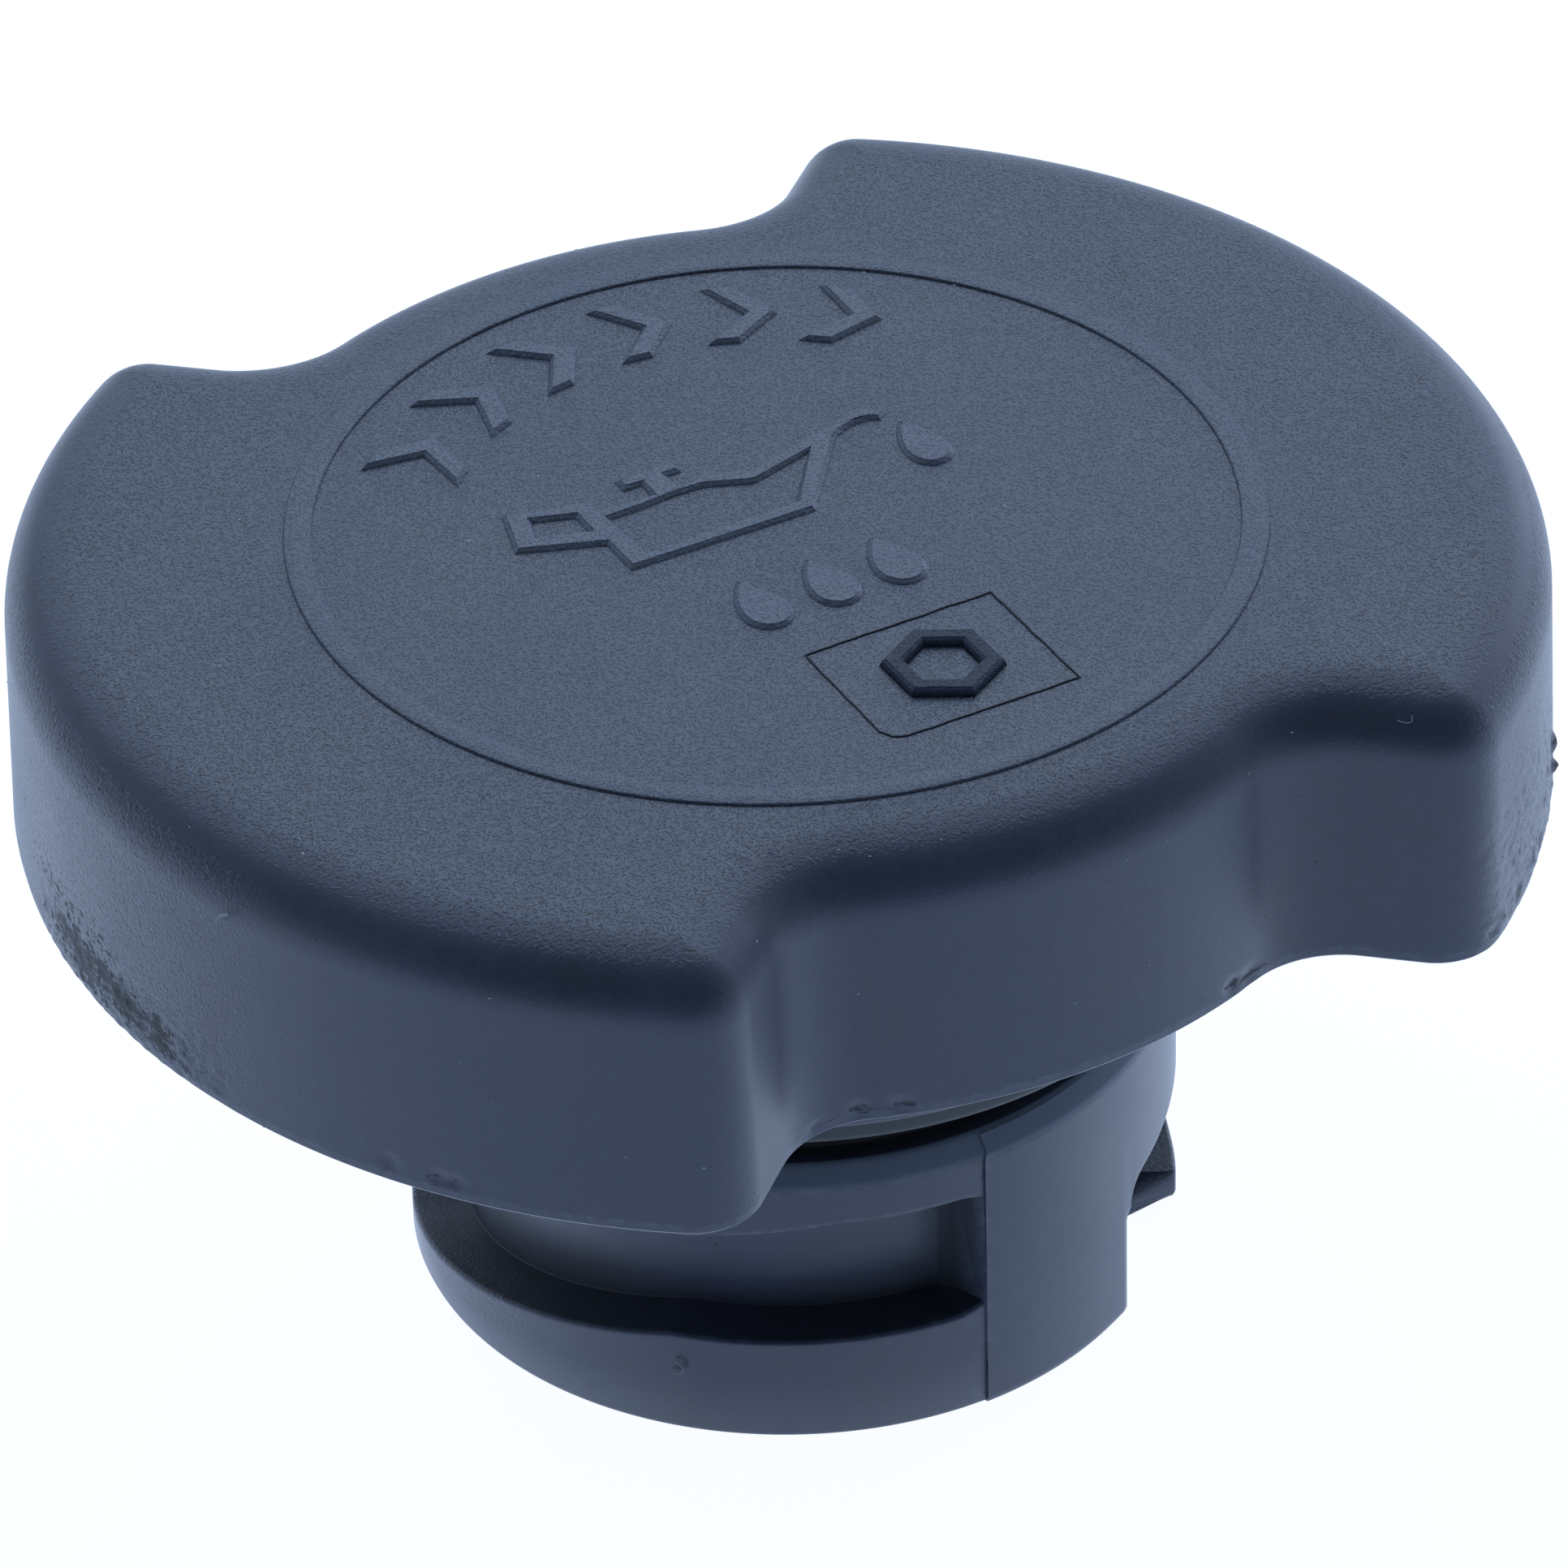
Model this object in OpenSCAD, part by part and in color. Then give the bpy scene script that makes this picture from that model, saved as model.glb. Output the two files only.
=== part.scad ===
// Oil filler cap: a two-winged hand knob and a bayonet neck moulded in one piece, with a rubber ring.
// +Z is up. The origin is the centre of the neck's lower end. The wings point along +X and -X.

/* [Knob outline] */
// Height of the cap from the neck's lower end to the top face
cap_h = 36.4; // [34:0.1:42]
// Height of the skirt's lower edge
skirt_z = 23.6; // [22.5:0.1:27]
// Radius of the wings at the skirt's lower edge
wing_r = 33.2; // [31:0.1:38]
// Radius of the two finger valleys between the wings
valley_r = 25.8; // [25:0.1:27.5]
// Angle between the two flanks of a valley
valley_angle = 59; // [48:0.5:66]
// Radius at which the valley angle is measured
flank_r = 29; // [28:0.1:30]
// Angle by which a flank leans away from the radial direction
flank_lean = 19; // [8:0.5:26]
// Radius of the wings' outer corners
corner_r = 3; // [2.9:0.1:4]
// Radius of the fillet at the foot of a flank
root_r = 4.5; // [2:0.1:6]

/* [Knob shell] */
// Radius of the rounded top edge
edge_r = 2.7; // [1:0.1:2.8]
// Distance by which the skirt leans in from its lower edge to the top edge
skirt_draft = 0.25; // [0.05:0.05:0.5]
// Bevel of the skirt's lower edge
hem = 0.25; // [0.1:0.05:0.5]
// Thickness of the skirt at its thinnest, below the top edge
skirt_wall = 2.4; // [1.8:0.1:2.8]
// Thickness of the top plate
plate_t = 2.6; // [2:0.1:4]
// Radius of the flat disc in the middle of the top
disc_r = 22; // [21:0.1:22.2]
// Fall of the top from the disc to the rounded edge
crown = 0.15; // [0.05:0.05:0.5]
// Radius of the raised bead's centre line on the disc
bead_r = 20.35; // [18:0.05:20.5]
// Width of the raised bead
bead_w = 0.95; // [0.6:0.05:1.4]
// Height of the raised bead
bead_h = 0.3; // [0.15:0.05:0.6]

/* [Ribs under the knob] */
// Thickness of a rib
rib_t = 1.6; // [1:0.1:2.4]
// Distance of the ribs' lower edge above the skirt's lower edge
rib_lift = 1.4; // [0.5:0.1:4]
// Number of ribs in each wing
wing_ribs = 3; // [1:1:4]
// Angle between neighbouring ribs of a wing
rib_step = 32; // [24:1:33]

/* [Neck] */
// Outer radius of the neck, its lugs and its upper ring
neck_r = 17; // [16.4:0.1:17.6]
// Radius of the neck's body at the bottom of the bayonet grooves
core_r = 14.4; // [13.6:0.1:14.8]
// Radius of the bore
bore_r = 12; // [10:0.1:12.6]
// Height at which the upper ring's chamfer starts
ring_z = 13.4; // [12.6:0.1:14]
// Chamfer of the upper ring
ring_chamfer = 0.8; // [0.3:0.1:1.2]
// Bevel of the neck's lower edge
nose_bevel = 0.3; // [0.1:0.1:0.8]

/* [Bayonet] */
// Height of a lug at its leading end
lead_h = 1.45; // [0.8:0.05:2.5]
// Height of a lug where it locks
lock_h = 5.2; // [4:0.1:6]
// Height of the groove's ceiling where it locks
ceiling_h = 11.5; // [10.5:0.1:12]
// Fall of the groove's ceiling for each degree of its ramp
ceiling_slope = 0.0376; // [0.01:0.0001:0.05]
// Angle covered by a stop block
block_angle = 31; // [20:1:40]
// Angle of the open entry slot
entry_angle = 27.5; // [20:0.5:34]
// Angle of a lug's level leading end
lead_angle = 10; // [4:1:16]
// Angle of a lug's level locking stretch
lock_angle = 47; // [30:1:60]
// Angle of the ceiling's level stretch
ceiling_angle = 22.5; // [10:0.5:40]

/* [Seat and sealing ring] */
// Thickness of the collar's lip outside the sealing ring
lip_wall = 0.85; // [0.5:0.05:1.6]
// Height of the collar's lower lip
lip_z = 18.7; // [18:0.1:19.4]
// Height of the sealing ring's seat, inside the lip
seat_z = 19.8; // [19.5:0.1:21]
// Radius of the neck where the sealing ring grips it
journal_r = 15; // [14.6:0.1:15.6]
// Radial width of the sealing ring
seal_w = 3.75; // [2.4:0.05:4.4]
// Thickness of the sealing ring
seal_t = 2.6; // [1.6:0.1:3.2]
// Rounding of the sealing ring's edges
seal_edge = 0.4; // [0.1:0.05:0.7]
// Gap between the sealing ring and what surrounds it
seal_gap = 0.05; // [0.02:0.01:0.2]

/* [Hidden] */
$fn = 96;
// Points along each arc of a quarter of the outline
wing_steps = 26;
valley_steps = 12;
corner_steps = 7;
root_steps = 6;
edge_steps = 5;
ramp_step = 6;
// Overlap of solids that are joined, and overshoot of solids that cut
lap = 0.5;
// Smallest radius left at a corner by an inset
least_r = 0.12;
body_colour = "#3f4859";
seal_colour = "#24272b";
edge_z = cap_h - crown;
plate_z = cap_h - plate_t;
// Inner radius of the sealing ring, radius of its seat, and outer radius of the collar round it
seal_in = journal_r + seal_gap;
seat_r = seal_in + seal_w + seal_gap;
collar_r = seat_r + lip_wall;
// Line of a flank: its direction and its distance from the axis
flank_dir = valley_angle / 2 + flank_lean;
flank_d = flank_r * sin(flank_lean);
along = [cos(flank_dir), sin(flank_dir)];
across = [sin(flank_dir), -cos(flank_dir)];
// Centres of the root fillet and of the wing's corner beside a flank
root_c = point_by(valley_r + root_r, flank_d + root_r);
corner_c = point_by(wing_r - corner_r, flank_d - corner_r);
root_a = atan2(root_c.y, root_c.x);
corner_a = atan2(corner_c.y, corner_c.x);
// Angles of the bayonet, counted from the stop face back to the far side of the entry slot
lug_angle = 180 - block_angle - entry_angle;
groove_angle = lug_angle + entry_angle;
ramp_angle = lug_angle - lead_angle - lock_angle;

// Point at distance r from the axis and d across the flank's direction
function point_by(r, d) = sqrt(r * r - d * d) * along + d * across;

// Points of an arc from angle a0 to a1, without the last one
function arc(c, r, a0, a1, n) = [for (i = [0:n - 1]) c + max(r, least_r) * [cos(a0 + (a1 - a0) * i / n), sin(a0 + (a1 - a0) * i / n)]];

function mirror_x(p) = [-p.x, p.y];

// Half of the knob's outline, moved inwards by inset, from one valley's middle flanks to the next
function half_outline(inset) = concat(
    arc([0, 0], valley_r - inset, -root_a, root_a, valley_steps),
    arc(root_c, root_r + inset, root_a + 180, flank_dir + 90, root_steps),
    arc(corner_c, corner_r - inset, flank_dir - 90, corner_a, corner_steps),
    arc([0, 0], wing_r - inset, corner_a, 180 - corner_a, wing_steps),
    arc(mirror_x(corner_c), corner_r - inset, 180 - corner_a, 270 - flank_dir, corner_steps),
    arc(mirror_x(root_c), root_r + inset, 90 - flank_dir, -root_a, root_steps)
);

// Whole outline, with the valleys along Y
function outline(inset) = [for (turn = [-90, 90], p = half_outline(inset))
    [p.x * cos(turn) - p.y * sin(turn), p.x * sin(turn) + p.y * cos(turn)]];

function at_height(points, z) = [for (p = points) [p.x, p.y, z]];

// The outline's points drawn in to a circle of radius r
function on_circle(points, r) = [for (p = points) r * p / norm(p)];

// Solid through a stack of rings that all have the same number of points
module loft(rings) {
    n = len(rings[0]);
    last = len(rings) - 1;
    polyhedron(
        points = [for (ring = rings, p = ring) p],
        faces = concat(
            [[for (i = [0:n - 1]) i]],
            [for (k = [0:last - 1], i = [0:n - 1])
                [k * n + i, (k + 1) * n + i, (k + 1) * n + (i + 1) % n, k * n + (i + 1) % n]],
            [[for (i = [n - 1:-1:0]) last * n + i]]
        )
    );
}

// The knob as one block, whose bevel runs on below the skirt's lower edge
module knob_block() {
    rings = concat(
        [at_height(outline(hem + lap), skirt_z - lap)],
        [at_height(outline(0), skirt_z + hem)],
        [for (i = [0:edge_steps])
            let (a = 90 * i / edge_steps)
            at_height(outline(skirt_draft + edge_r * (1 - cos(a))), edge_z - edge_r * (1 - sin(a)))],
        [at_height(on_circle(outline(0), disc_r), cap_h)]
    );
    loft(rings);
}

module knob_shell() {
    difference() {
        knob_block();
        translate([0, 0, -skirt_z])
            cylinder(r = 2 * wing_r, h = 2 * skirt_z);
        translate([0, 0, skirt_z - lap])
            linear_extrude(height = plate_z - skirt_z + lap)
                polygon(outline(skirt_wall + skirt_draft));
    }
}

module top_bead() {
    shoulder = bead_w / 4;
    rotate_extrude()
        translate([bead_r, cap_h])
            polygon([
                [-bead_w / 2, -lap],
                [bead_w / 2, -lap],
                [bead_w / 2, bead_h / 3],
                [shoulder, bead_h],
                [-shoulder, bead_h],
                [-bead_w / 2, bead_h / 3]
            ]);
}

// A rib from the collar out to the middle of the skirt's wall
module rib(outer_r) {
    inner_r = collar_r - lap;
    translate([inner_r, -rib_t / 2, skirt_z + rib_lift])
        cube([outer_r - skirt_wall / 2 - skirt_draft - inner_r, rib_t, plate_z + lap - skirt_z - rib_lift]);
}

module ribs() {
    for (side = [0, 180]) {
        for (i = [0:wing_ribs - 1])
            rotate(side + (i - (wing_ribs - 1) / 2) * rib_step)
                rib(wing_r);
        rotate(side + 90)
            rib(valley_r);
    }
}

// Neck, journal and collar, turned as one tube that ends in the top plate
module neck_tube() {
    rotate_extrude()
        polygon([
            [bore_r, 0],
            [neck_r - nose_bevel, 0],
            [neck_r, nose_bevel],
            [neck_r, ring_z],
            [neck_r - ring_chamfer, ring_z + ring_chamfer],
            [journal_r, ring_z + ring_chamfer],
            [journal_r, seat_z],
            [seat_r, seat_z],
            [seat_r, lip_z],
            [collar_r, lip_z],
            [collar_r, plate_z + lap],
            [bore_r, plate_z + lap]
        ]);
}

// Height of a lug's top, by the angle back from the stop face
function lug_top(a) = lock_h - (lock_h - lead_h) * min(max((a - lock_angle) / ramp_angle, 0), 1);

// Height of the groove's ceiling, by the angle back from the stop face
function ceiling(a) = ceiling_h - ceiling_slope * max(a - ceiling_angle, 0);

// Angles at which the groove's section is drawn: over the lug, then over the entry slot
function stops(from, to) = [for (i = [0:ceil((to - from) / ramp_step) - 1]) from + i * (to - from) / ceil((to - from) / ramp_step)];

function wrapped(r, a, z) = [r * cos(-90 - a), r * sin(-90 - a), z];

// Space above a lug, from the stop face back to the far side of the entry slot, which is open from below
module groove() {
    inner = (bore_r + core_r) / 2;
    outer = neck_r + lap;
    over_lug = stops(0, lug_angle);
    over_slot = concat(stops(lug_angle, groove_angle), [groove_angle]);
    s = len(over_lug);
    last = s + len(over_slot) - 1;
    extra = 4 * (last + 1);
    points = concat(
        [for (a = over_lug)
            each [wrapped(inner, a, lug_top(a)), wrapped(outer, a, lug_top(a)), wrapped(outer, a, ceiling(a)), wrapped(inner, a, ceiling(a))]],
        [for (a = over_slot)
            each [wrapped(inner, a, -lap), wrapped(outer, a, -lap), wrapped(outer, a, ceiling(a)), wrapped(inner, a, ceiling(a))]],
        [wrapped(inner, lug_angle, lead_h), wrapped(outer, lug_angle, lead_h)]
    );
    // First and last section, then the sides of each stretch; the stretch before the entry slot ends on the lug's face
    polyhedron(
        points = points,
        faces = concat(
            [[0, 1, 2, 3], [4 * last + 3, 4 * last + 2, 4 * last + 1, 4 * last]],
            [[extra + 1, extra, 4 * s, 4 * s + 1], [4 * s + 1, 4 * s + 5, extra + 1], [4 * s + 4, 4 * s, extra]],
            [for (k = [0:last - 1])
                let (p = 4 * k, q = p + 4, low_in = k == s - 1 ? extra : q, low_out = k == s - 1 ? extra + 1 : q + 1)
                each [
                    [p, low_in, low_out, p + 1],
                    [k == s ? extra + 1 : p + 1, low_out, q + 2, p + 2],
                    [p + 2, q + 2, q + 3, p + 3],
                    [p + 3, q + 3, low_in, k == s ? extra : p]
                ]]
        )
    );
}

module neck() {
    difference() {
        neck_tube();
        for (side = [0, 180])
            rotate(side)
                groove();
    }
    rotate_extrude()
        translate([bore_r, 0])
            square([core_r - bore_r, ring_z]);
}

module cap() {
    color(body_colour) {
        knob_shell();
        top_bead();
        ribs();
        neck();
    }
}

module sealing_ring() {
    color(seal_colour)
        rotate_extrude()
            translate([seal_in, seat_z - seal_t])
                rounded_section(seal_w, seal_t, min(seal_edge, seal_w / 3, seal_t / 3));
}

// Rectangle with rounded corners, its lower left corner at the origin
module rounded_section(w, h, r) {
    hull()
        for (x = [r, w - r], y = [r, h - r])
            translate([x, y])
                circle(r, $fn = 24);
}

cap();
sealing_ring();
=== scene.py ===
import math
from functools import partial

import bmesh
import bpy
import numpy as np
from mathutils import Matrix, Vector, noise
from mathutils.geometry import tessellate_polygon


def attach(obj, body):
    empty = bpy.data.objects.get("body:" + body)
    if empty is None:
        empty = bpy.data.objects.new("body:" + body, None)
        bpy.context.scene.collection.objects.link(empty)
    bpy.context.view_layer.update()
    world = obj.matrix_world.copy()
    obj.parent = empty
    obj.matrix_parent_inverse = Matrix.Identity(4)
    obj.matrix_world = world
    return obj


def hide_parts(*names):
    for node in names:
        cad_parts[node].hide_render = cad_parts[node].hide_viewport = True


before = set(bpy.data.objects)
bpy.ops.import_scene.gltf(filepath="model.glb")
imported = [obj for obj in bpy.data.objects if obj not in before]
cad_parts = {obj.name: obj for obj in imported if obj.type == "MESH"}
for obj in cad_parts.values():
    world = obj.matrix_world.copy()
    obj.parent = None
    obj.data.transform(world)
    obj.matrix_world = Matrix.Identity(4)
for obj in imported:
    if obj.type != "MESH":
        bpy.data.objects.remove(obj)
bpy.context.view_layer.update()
mm = 0.001
print("frame loaded: engine oil filler cap")


# shared helpers

def linearColour(hexCode):
    # sRGB hex to the linear values that the shader sockets take
    parts = [int(hexCode[i:i + 2], 16) / 255 for i in (1, 3, 5)]
    return [c / 12.92 if c <= 0.04045 else ((c + 0.055) / 1.055) ** 2.4 for c in parts] + [1.0]


def addNode(tree, kind, settings=None, links=None):
    # settings: attributes by name, inputs by number or name; links: input -> (node, output) or node
    node = tree.nodes.new(kind)
    for key, value in (settings or {}).items():
        if isinstance(key, str) and hasattr(node, key):
            setattr(node, key, value)
        else:
            node.inputs[key].default_value = value
    for key, link in (links or {}).items():
        source, output = link if isinstance(link, tuple) else (link, 0)
        tree.links.new(source.outputs[output], node.inputs[key])
    return node


def newObject(name, mesh):
    piece = bpy.data.objects.new(name, mesh)
    bpy.context.scene.collection.objects.link(piece)
    return piece


def plainMesh(name, points, faces):
    # points in millimetres
    mesh = bpy.data.meshes.new(name)
    mesh.from_pydata([tuple(p) for p in np.asarray(points) * mm], [], faces)
    return mesh


def cleanMesh(mesh, tiny=1e-7):
    # joins doubled points and turns every face outwards
    work = bmesh.new()
    work.from_mesh(mesh)
    bmesh.ops.remove_doubles(work, verts=work.verts, dist=tiny)
    bmesh.ops.dissolve_degenerate(work, edges=work.edges, dist=tiny)
    bmesh.ops.recalc_face_normals(work, faces=work.faces)
    work.to_mesh(mesh)
    work.free()


def markedMesh(name, points, faces, marks):
    # marks: one value a point, by the name of the attribute that carries them
    mesh = plainMesh(name, points, faces)
    for label, values in marks.items():
        layer = mesh.attributes.new(label, "FLOAT", "POINT")
        layer.data.foreach_set("value", np.asarray(values, np.float32))
    cleanMesh(mesh)
    return mesh


def dressed(name, mesh, material, smoothAngle, node="cap"):
    # a finished piece: it rides on the part's only body and stands for its CAD node
    mesh.polygons.foreach_set("use_smooth", [True] * len(mesh.polygons))
    mesh.set_sharp_from_angle(angle=math.radians(smoothAngle))
    mesh.update()
    mesh.materials.clear()
    mesh.materials.append(material)
    piece = newObject(name, mesh)
    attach(piece, "root")
    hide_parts(node)
    return piece


def bandFaces(a, b, n):
    # quads between two rings of n points, whose first points are a and b
    return [(a + i, b + i, b + (i + 1) % n, a + (i + 1) % n) for i in range(n)]


def ringStack(rings, closeLast=True):
    # bands between rings of equal count, with a fan in the first ring and, where wanted, in the last
    n, last = len(rings[0]), len(rings) - 1
    points = np.concatenate(rings)
    faces = [face for k in range(last) for face in bandFaces(k * n, (k + 1) * n, n)]
    for k in (0, last) if closeLast else (0,):
        fan = [(k * n + i, k * n + (i + 1) % n, len(points)) for i in range(n)]
        faces += [face[::-1] for face in fan] if k else fan
        points = np.vstack([points, rings[k].mean(0)])
    return points, faces


def polar(points):
    # distance from the turning axis, and angle about it in degrees
    return np.hypot(points[:, 0], points[:, 1]), np.degrees(np.arctan2(points[:, 1], points[:, 0]))


def turnFrom(angle, middle):
    return (angle - middle + 180) % 360 - 180


# geometry node tools: every tree has named inputs and ends in Realize Instances and Set Material

mathKind, rangeKind, noiseKind = "ShaderNodeMath", "ShaderNodeMapRange", "ShaderNodeTexNoise"
mixKind, shaderKind = "ShaderNodeMix", "ShaderNodeBsdfPrincipled"
multiply, addScaled = {"operation": "MULTIPLY"}, {"operation": "MULTIPLY_ADD"}
maximum, dotProduct = {"operation": "MAXIMUM"}, {"operation": "DOT_PRODUCT"}
smooth, colours = {"interpolation_type": "SMOOTHSTEP"}, {"data_type": "RGBA"}


def geometryTree(name, inputs):
    tree = bpy.data.node_groups.new(name, "GeometryNodeTree")
    tree.interface.new_socket("Geometry", in_out="INPUT", socket_type="NodeSocketGeometry")
    for label, value in inputs.items():
        kind = "NodeSocketInt" if isinstance(value, int) else "NodeSocketFloat"
        tree.interface.new_socket(label, in_out="INPUT", socket_type=kind).default_value = value
    tree.interface.new_socket("Material", in_out="INPUT", socket_type="NodeSocketMaterial")
    tree.interface.new_socket("Geometry", in_out="OUTPUT", socket_type="NodeSocketGeometry")
    add = partial(addNode, tree)
    return tree, add, add("NodeGroupInput")


def endTree(tree, source, output, groupIn):
    add = partial(addNode, tree)
    real = add("GeometryNodeRealizeInstances", links={"Geometry": (source, output)})
    finish = add("GeometryNodeSetMaterial",
            links={"Geometry": (real, "Geometry"), "Material": (groupIn, "Material")})
    add("NodeGroupOutput", links={"Geometry": (finish, "Geometry")})
    return tree


def grow(name, baseMesh, tree, values, material, smoothAngle=30, node="cap"):
    # runs a tree on a mesh, keeps the result as a plain mesh and dresses it
    values = dict(values, Material=material)
    source = newObject(name + "Source", baseMesh)
    modifier = source.modifiers.new(tree.name, "NODES")
    modifier.node_group = tree
    for item in tree.interface.items_tree:
        if item.item_type == "SOCKET" and item.in_out == "INPUT" and item.name in values:
            modifier[item.identifier] = values[item.name]
    depsgraph = bpy.context.evaluated_depsgraph_get()
    mesh = bpy.data.meshes.new_from_object(source.evaluated_get(depsgraph), depsgraph=depsgraph)
    bpy.data.objects.remove(source)
    mesh.name = name
    cleanMesh(mesh)
    return dressed(name, mesh, material, smoothAngle, node)


def sweptRingTree():
    # a trapezium with rounded edges swept round the turning axis
    tree, add, groupIn = geometryTree("sweptRing", {
        "Radius": 0.02, "Lower Width": 0.001, "Upper Width": 0.001, "Height": 0.001, "Edge Radius": 0.0002,
        "Level": 0.0, "Steps": 192})
    path = add("GeometryNodeCurvePrimitiveCircle",
            links={"Resolution": (groupIn, "Steps"), "Radius": (groupIn, "Radius")})
    section = add("GeometryNodeCurvePrimitiveQuadrilateral", {"mode": "TRAPEZOID", "Offset": 0}, {
        "Bottom Width": (groupIn, "Lower Width"), "Top Width": (groupIn, "Upper Width"),
        "Height": (groupIn, "Height")})
    rounded = add("GeometryNodeFilletCurve", {"mode": "POLY", "Count": 5, "Limit Radius": True},
            {"Curve": (section, "Curve"), "Radius": (groupIn, "Edge Radius")})
    swept = add("GeometryNodeCurveToMesh",
            links={"Curve": (path, "Curve"), "Profile Curve": (rounded, "Curve")})
    lift = add("ShaderNodeCombineXYZ", links={"Z": (groupIn, "Level")})
    moved = add("GeometryNodeTransform",
            links={"Geometry": (swept, "Mesh"), "Translation": (lift, "Vector")})
    return endTree(tree, moved, "Geometry", groupIn)


def turnedRowTree():
    # copies the incoming mesh round the turning axis: Count copies a row, Step apart, in Rows rows
    tree, add, groupIn = geometryTree("turnedRow", {"Count": 3, "Step": 0.5, "First": 0.0, "Rows": 1})
    count, rows = (groupIn, "Count"), (groupIn, "Rows")
    total = add(mathKind, multiply, {0: count, 1: rows})
    points = add("GeometryNodePoints", links={"Count": total})
    index = add("GeometryNodeInputIndex")
    place, over = [add(mathKind, {"operation": way}, {0: index, 1: count}) for way in ("MODULO", "DIVIDE")]
    row = add(mathKind, {"operation": "FLOOR"}, {0: over})
    full = add(mathKind, {"operation": "DIVIDE", 0: 2 * math.pi}, {1: rows})
    rowTurn = add(mathKind, multiply, {0: row, 1: full})
    stepTurn = add(mathKind, addScaled, {0: place, 1: (groupIn, "Step"), 2: (groupIn, "First")})
    turn = add(mathKind, {"operation": "ADD"}, {0: rowTurn, 1: stepTurn})
    angles = add("ShaderNodeCombineXYZ", links={"Z": turn})
    placed = add("GeometryNodeInstanceOnPoints", links={
        "Points": points, "Instance": (groupIn, "Geometry"), "Rotation": (angles, "Vector")})
    return endTree(tree, placed, "Instances", groupIn)


def specksTree():
    # small flat flecks strewn over the incoming surface
    tree, add, groupIn = geometryTree("strewnSpecks", {"Density": 10000.0, "Size": 0.0001, "Seed": 3})
    strewn = add("GeometryNodeDistributePointsOnFaces", links={
        "Mesh": (groupIn, "Geometry"), "Density": (groupIn, "Density"), "Seed": (groupIn, "Seed")})
    fleck = add("GeometryNodeMeshIcoSphere", {"Subdivisions": 1}, {"Radius": (groupIn, "Size")})
    least, most = (0.4, 0.4, 0.3), (1.4, 0.9, 0.6)
    spread = add("FunctionNodeRandomValue", {"data_type": "FLOAT_VECTOR", 0: least, 1: most},
            {"Seed": (groupIn, "Seed")})
    placed = add("GeometryNodeInstanceOnPoints", links={
        "Points": (strewn, "Points"), "Instance": (fleck, "Mesh"), "Rotation": (strewn, "Rotation"),
        "Scale": spread})
    return endTree(tree, placed, "Instances", groupIn)


def threadTree():
    # a round thread along the edges of the incoming mesh
    tree, add, groupIn = geometryTree("threadAlongPath", {"Radius": 0.00005, "Sides": 6})
    path = add("GeometryNodeMeshToCurve", links={"Mesh": (groupIn, "Geometry")})
    section = add("GeometryNodeCurvePrimitiveCircle",
            links={"Resolution": (groupIn, "Sides"), "Radius": (groupIn, "Radius")})
    thread = add("GeometryNodeCurveToMesh", {"Fill Caps": True},
            {"Curve": (path, "Curve"), "Profile Curve": (section, "Curve")})
    return endTree(tree, thread, "Mesh", groupIn)


# materials

def startMaterial(name):
    material = bpy.data.materials.new(name)
    material.use_nodes = True
    tree = material.node_tree
    tree.nodes.clear()
    add = partial(addNode, tree)
    return material, add, add("ShaderNodeOutputMaterial"), add("ShaderNodeTexCoord")


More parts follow.
